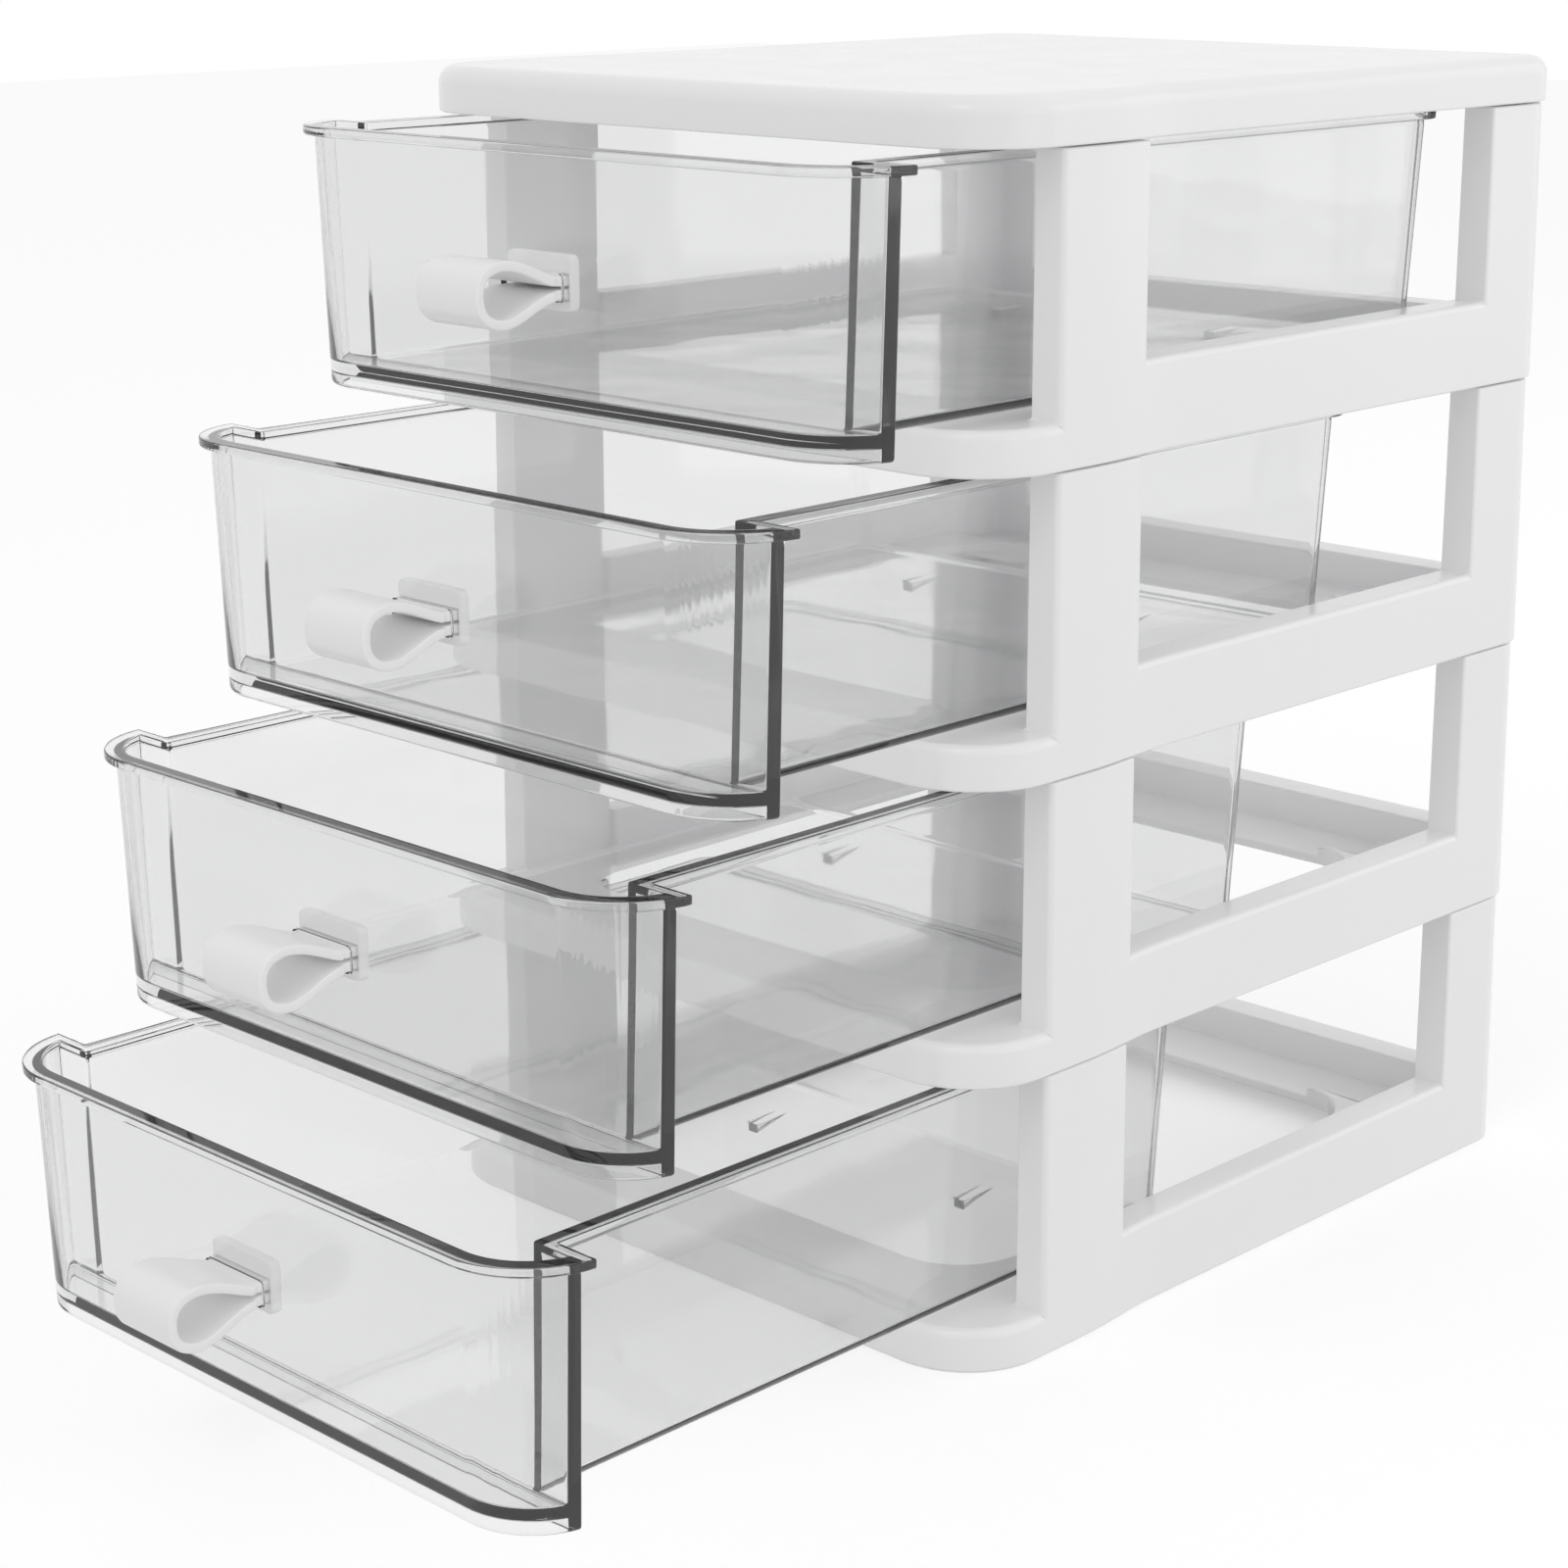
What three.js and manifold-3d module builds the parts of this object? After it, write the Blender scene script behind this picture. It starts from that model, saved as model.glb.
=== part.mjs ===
import * as THREE from "three";
import { mergeVertices } from "three/addons/utils/BufferGeometryUtils.js";
import Module from "manifold-3d";

// Desktop organizer: four open white tiers stacked under a cover, each with a clear pull-out drawer.
// Millimetres, +Z up, drawers open towards -Y. Every size that can be set by itself is listed first.

// Tier frames and cover
const frameWidth = 130;
const frameDepth = 155.3;
const tierPitch = 48.6;
const frontCornerRadius = 15;
const rearCornerRadius = 7.8;
const lipFlare = 1.3;
const flareEnd = 48;
const lipEdgeRadius = 1.8;
const bandEdgeRadius = 1.2;
const skirtWall = 2.2;
const shelfHeight = 7.3;
const rearFloorHeight = 5.2;
const plateThickness = 1.8;
const bandHeight = 14.9;
const sillWidth = 6.6;
const rearBandHeight = 11.5;
const rearBandDepth = 7;
const innerCornerRadius = 3;
const postSetback = 17.5;
const frontPostDepth = 21.4;
const frontPostWidth = 6.4;
const frontPostTaper = 0.5;
const postEdgeRadius = 1.2;
const rearPostDepth = 21;
const rearPostReturn = 14;
const postInset = 0.4;
const sideStripWidth = 10.4;
const frontStripWidth = 18;
const rearStripWidth = 15.3;
const holeCornerRadius = 13;
const tenonHeight = 3;
const tenonThickness = 2.4;
const coverHeight = 7.8;
const coverEdgeRadius = 3;
const coverWall = 2.2;

// Clear drawers
const bodyRearRadius = 4;
const bodyBottomRadius = 2.6;
const sideDraft = 1.5;
const pocketDepth = 11.2;
const pocketCornerRadius = 13.5;
const pocketBottomRadius = 1.6;
const pocketDraft = 1.3;
const pocketDrop = 2.2;
const drawerWall = 1.8;
const rimThickness = 1.5;
const rimReach = 1.8;
const nubSpacing = 50.4;
const nubWidth = 2.4;
const nubLength = 8.4;
const nubSetback = 19.9;
const nubDrop = 1.9;

// Pulls and their clips
const pullOffset = -3.5;
const pullHeight = 26.4;
const pullWidth = 14.4;
const pullLength = 17;
const bulbHeight = 10.2;
const loopWall = 1.5;
const neckWidth = 13.2;
const neckHeight = 3.6;
const tongueReach = 1.7;
const clipWidth = 14.8;
const clipHeight = 7.8;
const clipThickness = 1.6;

// Fits
const slideClearance = 0.3;
const seamGap = 0.3;
const sideClearance = 1.4;
const rearClearance = 4.1;
const frontInset = 0.3;
const rimClearance = 0.6;
const fitClearance = 0.3;
const overrun = 2;

// How far each drawer stands open, from the top one down, as shares of the whole travel
const openShares = [0.1526, 0.381, 0.589, 0.7726];

// Facets
const cornerSteps = 6;
const smallSteps = 3;
const edgeSteps = 3;
const tierCount = 4;

// What follows from those sizes
const halfWidth = frameWidth / 2;
const innerHalf = halfWidth - sillWidth;
const bandRear = frameDepth - rearBandDepth;
const holeHalfWidth = innerHalf - sideStripWidth;
const holeFront = frontStripWidth;
const holeRear = bandRear - rearStripWidth;
const stepClosed = -slideClearance;
const bodyHalfWidth = innerHalf - sideClearance - rimReach;
const bodyLength = bandRear - rearClearance - rimReach - stepClosed;
const pocketHalfWidth = halfWidth + lipFlare - frontInset - rimReach;
const bodyBottom = shelfHeight + slideClearance;
const pocketBottom = bodyBottom - pocketDrop;
const rimTop = tierPitch - rimClearance;
const nubFront = bodyLength - nubSetback;
const travel = stepClosed + nubFront - holeFront - slideClearance;
const stackTop = tierCount * tierPitch;
const wasm = await Module();
wasm.setup();

function arc(cx, cy, radius, from, to, steps) {
  const points = [];
  for (let i = 0; i <= steps; i += 1) {
    const angle = from + ((to - from) * i) / steps;
    points.push([cx + radius * Math.cos(angle), cy + radius * Math.sin(angle)]);
  }
  return points;
}

// Closed body through rings of the same number of points, each [points, z], lowest first.
function loft(rings) {
  const count = rings[0][0].length;
  const vertices = [];
  const faces = [];
  for (const [points, z] of rings) for (const [x, y] of points) vertices.push(x, y, z);
  for (let ring = 0; ring + 1 < rings.length; ring += 1) {
    for (let i = 0; i < count; i += 1) {
      const a = ring * count + i;
      const b = ring * count + ((i + 1) % count);
      faces.push(a, b, b + count, a, b + count, a + count);
    }
  }
  const contour = (points) => points.map(([x, y]) => new THREE.Vector2(x, y));
  for (const [a, b, c] of THREE.ShapeUtils.triangulateShape(contour(rings[0][0]), [])) faces.push(c, b, a);
  const last = (rings.length - 1) * count;
  for (const [a, b, c] of THREE.ShapeUtils.triangulateShape(contour(rings.at(-1)[0]), [])) {
    faces.push(last + a, last + b, last + c);
  }
  const geometry = new THREE.BufferGeometry();
  geometry.setAttribute("position", new THREE.Float32BufferAttribute(vertices, 3));
  geometry.setIndex(faces);
  return solid(geometry);
}

function solid(source) {
  const bare = source.clone();
  bare.deleteAttribute("normal");
  bare.deleteAttribute("uv");
  const merged = mergeVertices(bare);
  const mesh = new wasm.Mesh({
    numProp: 3,
    vertProperties: Float32Array.from(merged.attributes.position.array),
    triVerts: Uint32Array.from(merged.index.array),
  });
  return new wasm.Manifold(mesh);
}

function box(x0, x1, y0, y1, z0, z1) {
  const geometry = new THREE.BoxGeometry(x1 - x0, y1 - y0, z1 - z0);
  geometry.translate((x0 + x1) / 2, (y0 + y1) / 2, (z0 + z1) / 2);
  return solid(geometry);
}

function mesh(name, body, material) {
  const { vertProperties, triVerts, numProp } = body.getMesh();
  const positions = new Float32Array((vertProperties.length / numProp) * 3);
  for (let i = 0; i < vertProperties.length / numProp; i += 1) {
    for (let k = 0; k < 3; k += 1) positions[i * 3 + k] = vertProperties[i * numProp + k];
  }
  const geometry = new THREE.BufferGeometry();
  geometry.setAttribute("position", new THREE.BufferAttribute(positions, 3));
  geometry.setIndex(Array.from(triVerts));
  geometry.computeVertexNormals();
  const result = new THREE.Mesh(geometry, material);
  result.name = name;
  return result;
}

// Rings of an upright body whose top edge is rounded. outline(inset) gives its plan.
function roundedTop(outline, bottom, top, radius) {
  const rings = [[outline(0), bottom]];
  for (let i = 0; i <= edgeSteps; i += 1) {
    const angle = (Math.PI / 2) * (i / edgeSteps);
    rings.push([outline(radius * (1 - Math.cos(angle))), top - radius * (1 - Math.sin(angle))]);
  }
  return loft(rings);
}

// The same with a rounded bottom edge, walls that lean out by draft, and an open or flat top.
function roundedBottom(outline, bottom, top, radius, draft, extra = 0) {
  const rings = [];
  const lean = (z) => draft * (1 - (z - bottom) / (top - bottom));
  for (let i = 0; i <= edgeSteps; i += 1) {
    const angle = (Math.PI / 2) * (i / edgeSteps);
    const z = bottom + radius * (1 - Math.cos(angle));
    rings.push([outline(lean(z) + radius * (1 - Math.sin(angle))), z]);
  }
  rings.push([outline(0), top]);
  if (extra > 0) rings.push([outline(0), top + extra]);
  return loft(rings);
}

// Plan of a tier, with the lip's front at y = 0: large front corners, a slight flare beside the
// lip that fades along the side, and smaller rear corners.
const cornerFloorShare = 0.1;
function framePlan(inset, flare) {
  const front = Math.max(frontCornerRadius - inset, frontCornerRadius * cornerFloorShare);
  const rear = Math.max(rearCornerRadius - inset, rearCornerRadius * cornerFloorShare);
  const wide = halfWidth + flare - inset;
  const rearHalf = halfWidth - inset;
  const right = [
    ...arc(wide - front, inset + front, front, -Math.PI / 2, 0, cornerSteps),
  ];
  const fadeStart = Math.max(inset + front, (frontCornerRadius + postSetback + frontPostDepth) / 2);
  const fade = flareEnd > fadeStart ? flareEnd - fadeStart : 0;
  for (let i = 1; i <= smallSteps; i += 1) {
    const share = i / smallSteps;
    const drop = flare * (1 - Math.cos(Math.PI * share)) / 2;
    right.push([wide - drop, fadeStart + fade * share]);
  }
  right.push(...arc(rearHalf - rear, frameDepth - inset - rear, rear, 0, Math.PI / 2, smallSteps + 1));
  const left = right.map(([x, y]) => [-x, y]).reverse();
  return [...right, ...left];
}

function roundedRect(x0, x1, y0, y1, radius) {
  const r = Math.min(radius, (x1 - x0) / 2, (y1 - y0) / 2);
  return [
    ...arc(x1 - r, y0 + r, r, -Math.PI / 2, 0, smallSteps),
    ...arc(x1 - r, y1 - r, r, 0, Math.PI / 2, smallSteps),
    ...arc(x0 + r, y1 - r, r, Math.PI / 2, Math.PI, smallSteps),
    ...arc(x0 + r, y0 + r, r, Math.PI, Math.PI * 1.5, smallSteps),
  ];
}

function prism(points, bottom, top) {
  return loft([[points, bottom], [points, top]]);
}

// One tier: a low band with a front lip and shelf, a floor ring and four posts on the band.
function tierSolid() {
  const postRear = postSetback + frontPostDepth;
  const plan = (inset) => framePlan(inset, lipFlare);

  let body = roundedTop(plan, 0, bandHeight, bandEdgeRadius);
  body = body.subtract(box(-frameWidth, frameWidth, -overrun, postSetback, -overrun, bandHeight + overrun));
  body = body.add(roundedTop(plan, 0, shelfHeight, lipEdgeRadius));

  // Room above the shelf and side strips, and one small step lower behind the hole
  const wellFront = postSetback - innerCornerRadius - overrun;
  const well = roundedRect(-innerHalf, innerHalf, wellFront, bandRear, innerCornerRadius);
  body = body.subtract(prism(well, shelfHeight, bandHeight + overrun));
  const rearWell = roundedRect(-innerHalf, innerHalf, holeRear, bandRear, innerCornerRadius);
  body = body.subtract(prism(rearWell, rearFloorHeight, bandHeight + overrun));
  const returnHalf = halfWidth - rearPostReturn;
  body = body.subtract(
    box(-returnHalf, returnHalf, bandRear - overrun, frameDepth + overrun, rearBandHeight, bandHeight + overrun),
  );

  // Hollow underside inside the skirt, and the open middle of the floor
  const hollow = framePlan(skirtWall, lipFlare);
  const shelfUnder = shelfHeight - plateThickness;
  const rearUnder = rearFloorHeight - plateThickness;
  body = body.subtract(prism(hollow, -overrun, rearUnder));
  body = body.subtract(prism(hollow, rearUnder - overrun, shelfUnder).intersect(
    box(-frameWidth, frameWidth, -overrun, holeRear - plateThickness, -overrun, bandHeight),
  ));
  const hole = roundedRect(-holeHalfWidth, holeHalfWidth, holeFront, holeRear, holeCornerRadius);
  body = body.subtract(prism(hole, -overrun, bandHeight));

  // Posts rise flush from the band to the next tier and lean in a little towards the top
  const postTop = tierPitch - seamGap;
  const postBottom = bandHeight - bandEdgeRadius;
  const shell = (foot) => loft([[plan(0), foot], [plan(postInset), postTop]]);
  const outer = halfWidth + lipFlare;
  const rearFront = frameDepth - rearPostDepth;
  for (const side of [-1, 1]) {
    const plot = (inner) => {
      const near = Math.min(side * (outer - inner), side * (outer + overrun));
      const far = Math.max(side * (outer - inner), side * (outer + overrun));
      return roundedRect(near, far, postSetback, postRear, postEdgeRadius);
    };
    const front = loft([
      [plot(frontPostWidth), shelfHeight - plateThickness / 2],
      [plot(frontPostWidth - frontPostTaper), postTop],
    ]);
    body = body.add(front.intersect(shell(shelfHeight - plateThickness)));
    body = body.add(tenon(side, postSetback + tenonThickness, postRear - tenonThickness));

    const rearHalf = halfWidth - rearPostReturn;
    const near = side > 0 ? rearHalf : -outer - overrun;
    const far = side > 0 ? outer + overrun : -rearHalf;
    const corner = shell(postBottom)
      .intersect(box(near, far, rearFront, frameDepth + overrun, 0, tierPitch))
      .subtract(box(-innerHalf, innerHalf, 0, bandRear, 0, tierPitch));
    body = body.add(corner);
    body = body.add(tenon(side, rearFront + tenonThickness, bandRear - tenonThickness));
  }
  return body;
}

// Upright tab on a post's top that locates the next tier from inside its skirt
function tenon(side, front, rear) {
  const outer = halfWidth - skirtWall - fitClearance;
  const near = Math.min(side * (outer - tenonThickness), side * outer);
  const far = Math.max(side * (outer - tenonThickness), side * outer);
  return box(near, far, front, rear, tierPitch - seamGap - tenonHeight, tierPitch + tenonHeight);
}

function coverSolid() {
  const plan = (inset) => framePlan(inset, lipFlare);
  const body = roundedTop(plan, 0, coverHeight, coverEdgeRadius);
  return body.subtract(prism(framePlan(coverWall, lipFlare), -overrun, coverHeight - coverWall));
}

// Plan of the drawer's wide front, cut off square at the step where the body begins (y = 0).
function pocketPlan(inset, stepInset) {
  const radius = Math.max(pocketCornerRadius - inset, pocketCornerRadius * cornerFloorShare);
  const cx = pocketHalfWidth - inset - radius;
  const cy = -pocketDepth + inset + radius;
  const reach = Math.min(Math.max((-stepInset - cy) / radius, -1), 1);
  const end = Math.asin(reach);
  const right = arc(cx, cy, radius, -Math.PI / 2, end, cornerSteps + 2);
  const left = right.map(([x, y]) => [-x, y]).reverse();
  return [...right, ...left];
}

function bodyPlan(inset, front) {
  const half = bodyHalfWidth - inset;
  const rear = bodyLength - inset;
  const r = Math.max(bodyRearRadius - inset, bodyRearRadius * cornerFloorShare);
  const right = [[half, front], ...arc(half - r, rear - r, r, 0, Math.PI / 2, smallSteps)];
  return [...right, ...right.map(([x, y]) => [-x, y]).reverse()];
}

// One-piece clear drawer; its own y = 0 is the rear of the wide front.
function drawerSolid() {
  const bodyFront = -drawerWall;
  const outerBody = roundedBottom((inset) => bodyPlan(inset, bodyFront), bodyBottom, rimTop,
    bodyBottomRadius, sideDraft);
  const outerPocket = roundedBottom((inset) => pocketPlan(inset, 0), pocketBottom, rimTop,
    pocketBottomRadius, pocketDraft);
  const rimBottom = rimTop - rimThickness;
  const rim = prism(bodyPlan(-rimReach, bodyFront), rimBottom, rimTop)
    .add(prism(pocketPlan(-rimReach, -rimReach * rimBackShare), rimBottom, rimTop));
  let body = outerBody.add(outerPocket).add(rim);

  const innerRadius = (radius) => Math.max(radius - drawerWall / 2, radius * cornerFloorShare);
  const innerBody = roundedBottom((inset) => bodyPlan(inset + drawerWall, bodyFront - drawerWall),
    bodyBottom + drawerWall, rimTop, innerRadius(bodyBottomRadius), sideDraft, overrun);
  const innerPocket = roundedBottom((inset) => pocketPlan(inset + drawerWall, drawerWall),
    pocketBottom + drawerWall, rimTop, innerRadius(pocketBottomRadius), pocketDraft, overrun);
  body = body.subtract(innerBody).subtract(innerPocket);

  // Two small wedges under the floor: upright towards the front, sloping away to the rear
  for (const side of [-1, 1]) {
    const x = (side * nubSpacing) / 2;
    const wedge = new THREE.Shape([
      new THREE.Vector2(nubFront, bodyBottom + drawerWall / 2),
      new THREE.Vector2(nubFront, bodyBottom - nubDrop),
      new THREE.Vector2(nubFront + nubLength, bodyBottom),
      new THREE.Vector2(nubFront + nubLength, bodyBottom + drawerWall / 2),
    ]);
    const geometry = new THREE.ExtrudeGeometry(wedge, { depth: nubWidth, bevelEnabled: false });
    geometry.applyMatrix4(new THREE.Matrix4().set(
      0, 0, 1, x - nubWidth / 2,
      1, 0, 0, 0,
      0, 1, 0, 0,
      0, 0, 0, 1,
    ));
    body = body.add(solid(geometry));
  }

  // Slot for the pull's tongue
  const slotHalf = neckWidth / 2 + fitClearance;
  const slotRise = neckHeight / 2 + fitClearance;
  return body.subtract(box(pullOffset - slotHalf, pullOffset + slotHalf, -pocketDepth - overrun,
    -pocketDepth + drawerWall + pocketDraft + overrun, pullHeight - slotRise, pullHeight + slotRise));
}

// Side view of the pull, an open teardrop loop, as shares of its length (out from the drawer) and of
// half its height
const pullProfileShares = [
  [0.02, -0.35], [0.14, -0.4], [0.27, -0.56], [0.42, -0.82], [0.57, -0.98], [0.7, -1], [0.84, -0.88],
  [0.94, -0.6], [0.99, -0.22], [1, 0.15], [0.96, 0.5], [0.88, 0.78], [0.76, 0.96], [0.6, 1], [0.42, 0.88],
  [0.22, 0.63], [0.02, 0.36],
];
const rimBackShare = 0.6;

// Where the front wall's outer face stands at the height of the pull
const wallLean = pocketDraft * (1 - (pullHeight - pocketBottom) / (rimTop - pocketBottom));
const wallFace = -pocketDepth + wallLean;

function pullSolid() {
  const half = pullWidth / 2;
  const base = wallFace - fitClearance;
  const profile = (shrink) => pullProfileShares.map(([out, rise]) => {
    const y = -out * pullLength;
    const z = (rise * bulbHeight) / 2;
    const cy = -pullLength * bulbCentreShare;
    const room = Math.max(1 - shrink / (bulbHeight / 2), cornerFloorShare);
    return new THREE.Vector2(base + cy + (y - cy) * room, pullHeight + z * room);
  });
  const sweep = (points, x0, x1) => {
    const geometry = new THREE.ExtrudeGeometry(new THREE.Shape(points), { depth: x1 - x0, bevelEnabled: false });
    geometry.applyMatrix4(new THREE.Matrix4().set(
      0, 0, 1, x0,
      1, 0, 0, 0,
      0, 1, 0, 0,
      0, 0, 0, 1,
    ));
    return solid(geometry);
  };
  const loop = sweep(profile(0), pullOffset - half, pullOffset + half)
    .subtract(sweep(profile(loopWall), pullOffset - half - overrun, pullOffset + half + overrun));
  const clipBack = wallFace + drawerWall + fitClearance + clipThickness;
  const tongue = box(pullOffset - neckWidth / 2, pullOffset + neckWidth / 2,
    base - pullLength * tongueRootShare, clipBack + tongueReach,
    pullHeight - neckHeight / 2, pullHeight + neckHeight / 2);
  return loop.add(tongue);
}
const bulbCentreShare = 0.6;
const tongueRootShare = 0.12;

function clipSolid() {
  const front = wallFace + drawerWall + fitClearance;
  const plate = box(pullOffset - clipWidth / 2, pullOffset + clipWidth / 2, front, front + clipThickness,
    pullHeight - clipHeight / 2, pullHeight + clipHeight / 2);
  const half = neckWidth / 2 + fitClearance;
  const rise = neckHeight / 2 + fitClearance;
  return plate.subtract(box(pullOffset - half, pullOffset + half, front - overrun,
    front + clipThickness + overrun, pullHeight - rise, pullHeight + rise));
}

const whitePlastic = new THREE.MeshStandardMaterial({ color: 0xf1f1f2, roughness: 0.32, metalness: 0 });
const pullPlastic = new THREE.MeshStandardMaterial({ color: 0xf6f6f6, roughness: 0.38, metalness: 0 });
const clearPlastic = new THREE.MeshStandardMaterial({
  color: 0xdfe3e4, roughness: 0.06, metalness: 0, transparent: true, opacity: 0.35,
});

const tierBody = tierSolid();
const drawerBody = drawerSolid();
const pullBody = pullSolid();
const clipBody = clipSolid();

const organizer = new THREE.Group();
const stops = openShares.map((share) => stepClosed - share * travel);
for (let i = 0; i < tierCount; i += 1) {
  const level = (tierCount - 1 - i) * tierPitch;
  const tier = mesh(`tier_${i + 1}`, tierBody, whitePlastic);
  tier.position.z = level;
  organizer.add(tier);
  const drawer = new THREE.Group();
  drawer.position.set(0, stops[i], level);
  drawer.add(mesh(`drawer_${i + 1}`, drawerBody, clearPlastic));
  drawer.add(mesh(`pull_${i + 1}`, pullBody, pullPlastic));
  drawer.add(mesh(`clip_${i + 1}`, clipBody, pullPlastic));
  organizer.add(drawer);
}
const cover = mesh("cover", coverSolid(), whitePlastic);
cover.position.z = stackTop;
organizer.add(cover);

// The origin stands at the middle of the ground that the opened organizer covers
const foremost = Math.min(...stops) + wallFace - fitClearance - pullLength;
organizer.position.y = -(foremost + frameDepth) / 2;

export default organizer;
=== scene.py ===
import math

import bpy
from mathutils import Matrix, Vector


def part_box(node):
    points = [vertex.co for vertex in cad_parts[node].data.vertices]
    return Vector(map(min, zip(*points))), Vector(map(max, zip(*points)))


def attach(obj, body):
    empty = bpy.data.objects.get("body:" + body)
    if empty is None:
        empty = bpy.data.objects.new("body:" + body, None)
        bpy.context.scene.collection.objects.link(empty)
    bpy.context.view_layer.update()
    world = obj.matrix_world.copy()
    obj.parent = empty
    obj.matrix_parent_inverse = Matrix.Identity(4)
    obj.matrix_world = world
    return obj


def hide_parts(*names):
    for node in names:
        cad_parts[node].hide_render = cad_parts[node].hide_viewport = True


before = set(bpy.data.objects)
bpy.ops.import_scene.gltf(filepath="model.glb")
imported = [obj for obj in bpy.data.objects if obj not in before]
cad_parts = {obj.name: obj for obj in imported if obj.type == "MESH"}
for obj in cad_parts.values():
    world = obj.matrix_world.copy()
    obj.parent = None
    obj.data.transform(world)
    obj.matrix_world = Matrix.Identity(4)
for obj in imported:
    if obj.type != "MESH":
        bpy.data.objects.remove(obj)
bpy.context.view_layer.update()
mm = 0.001
tiny = 0.02  # in mm, how far a point may lie off a line or level and still count as on it
weld = 0.004  # in mm, points closer than this are merged
slant = 4  # in mm, how far the two ends of an upright edge may stand apart


# Camera, at the photograph's own angle
cameraSetup = {
    "position": (0.38005, -0.38523, 0.23337),
    "yaw": 44.49,
    "pitch": 15.53,
    "roll": -0.16,
    "lens": 75.3,
    "sensor": 36,
}


def addCamera(setup):
    bpy.ops.object.select_all(action="DESELECT")
    bpy.ops.object.camera_add(location=setup["position"])
    camera = bpy.context.object
    camera.name = "photoCamera"
    camera.data.lens = setup["lens"]
    camera.data.sensor_width = setup["sensor"]
    turn = Matrix.Rotation(math.radians(setup["yaw"]), 3, "Z")
    tilt = Matrix.Rotation(math.radians(90 - setup["pitch"]), 3, "X")
    roll = Matrix.Rotation(math.radians(setup["roll"]), 3, "Z")
    camera.rotation_euler = (turn @ tilt @ roll).to_euler()
    bpy.context.scene.camera = camera


addCamera(cameraSetup)
print("camera set")


# Modelling tools: sizes go in as millimetres
def clearSelection():
    if bpy.context.object and bpy.context.object.mode != "OBJECT":
        bpy.ops.object.mode_set(mode="OBJECT")
    bpy.ops.object.select_all(action="DESELECT")


def pickPiece(piece):
    clearSelection()
    bpy.context.view_layer.objects.active = piece
    piece.select_set(True)


def applyPlace(piece):
    pickPiece(piece)
    bpy.ops.object.transform_apply(location=True, rotation=True, scale=True)


def addBlock(name, x, y, z):
    # A block between two places along each axis
    clearSelection()
    middle = [(side[0] + side[1]) / 2 * mm for side in (x, y, z)]
    bpy.ops.mesh.primitive_cube_add(size=1, location=middle)
    block = bpy.context.object
    block.name = name
    block.scale = [(side[1] - side[0]) * mm for side in (x, y, z)]
    applyPlace(block)
    return block


def pickEdges(piece, test, sharpAngle=None):
    # Selects the edges that the test takes, only sharp ones if an angle is given
    pickPiece(piece)
    bpy.ops.object.mode_set(mode="EDIT")
    bpy.ops.mesh.select_mode(type="EDGE")
    bpy.ops.mesh.select_all(action="DESELECT")
    if sharpAngle is not None:
        bpy.ops.mesh.edges_select_sharp(sharpness=math.radians(sharpAngle))
    bpy.ops.object.mode_set(mode="OBJECT")
    points = piece.data.vertices
    for edge in piece.data.edges:
        a, b = (points[i].co / mm for i in edge.vertices)
        edge.select = (sharpAngle is None or edge.select) and bool(test(a, b))
    bpy.ops.object.mode_set(mode="EDIT")


def pickPoints(piece, test):
    pickPiece(piece)
    bpy.ops.object.mode_set(mode="EDIT")
    bpy.ops.mesh.select_mode(type="VERT")
    bpy.ops.mesh.select_all(action="DESELECT")
    bpy.ops.object.mode_set(mode="OBJECT")
    for point in piece.data.vertices:
        point.select = bool(test(point.co / mm))
    bpy.ops.object.mode_set(mode="EDIT")


def roundEdges(piece, test, radius, steps, sharpAngle=None):
    pickEdges(piece, test, sharpAngle)
    bpy.ops.mesh.bevel(
        offset=radius * mm, segments=steps, profile=0.5, affect="EDGES", clamp_overlap=False,
    )
    bpy.ops.object.mode_set(mode="OBJECT")


def roundPosts(piece, radius, steps, ahead=None):
    # Rounds the upright edges, only those in front or only those at the rear if ahead says so
    ys = [point.co.y / mm for point in piece.data.vertices]
    half = (min(ys) + max(ys)) / 2

    def upright(a, b):
        wanted = ahead is None or (a.y < half) == ahead
        standing = abs(a.x - b.x) < slant and abs(a.y - b.y) < slant
        return wanted and standing and abs(a.z - b.z) > tiny

    roundEdges(piece, upright, radius, steps)


def roundLevel(piece, level, radius, steps, outlineAngle=60):
    # Rounds the outline edges that lie at one height
    def atLevel(a, b):
        return abs(a.z - level) < tiny and abs(b.z - level) < tiny

    roundEdges(piece, atLevel, radius, steps, outlineAngle)


def spread(piece, test, factors, centre=(0, 0, 0)):
    pickPoints(piece, test)
    bpy.ops.transform.resize(value=factors, center_override=[c * mm for c in centre])
    bpy.ops.object.mode_set(mode="OBJECT")


def combine(piece, other, operation):
    pickPiece(piece)
    bpy.ops.object.modifier_add(type="BOOLEAN")
    boolean = piece.modifiers[-1]
    boolean.operation = operation
    boolean.object = other
    boolean.solver = "EXACT"
    bpy.ops.object.modifier_apply(modifier=boolean.name)
    bpy.data.objects.remove(other)


def cutAway(piece, *cutters):
    for cutter in cutters:
        combine(piece, cutter, "DIFFERENCE")


def joinOn(piece, *others):
    for other in others:
        combine(piece, other, "UNION")


def mergeFlats(piece, flatAngle=0.5):
    # Makes one face of faces that lie in one plane
    pickPiece(piece)
    bpy.ops.object.mode_set(mode="EDIT")
    bpy.ops.mesh.select_all(action="SELECT")
    bpy.ops.mesh.remove_doubles(threshold=weld * mm)
    bpy.ops.mesh.dissolve_limited(angle_limit=math.radians(flatAngle))
    bpy.ops.object.mode_set(mode="OBJECT")


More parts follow.
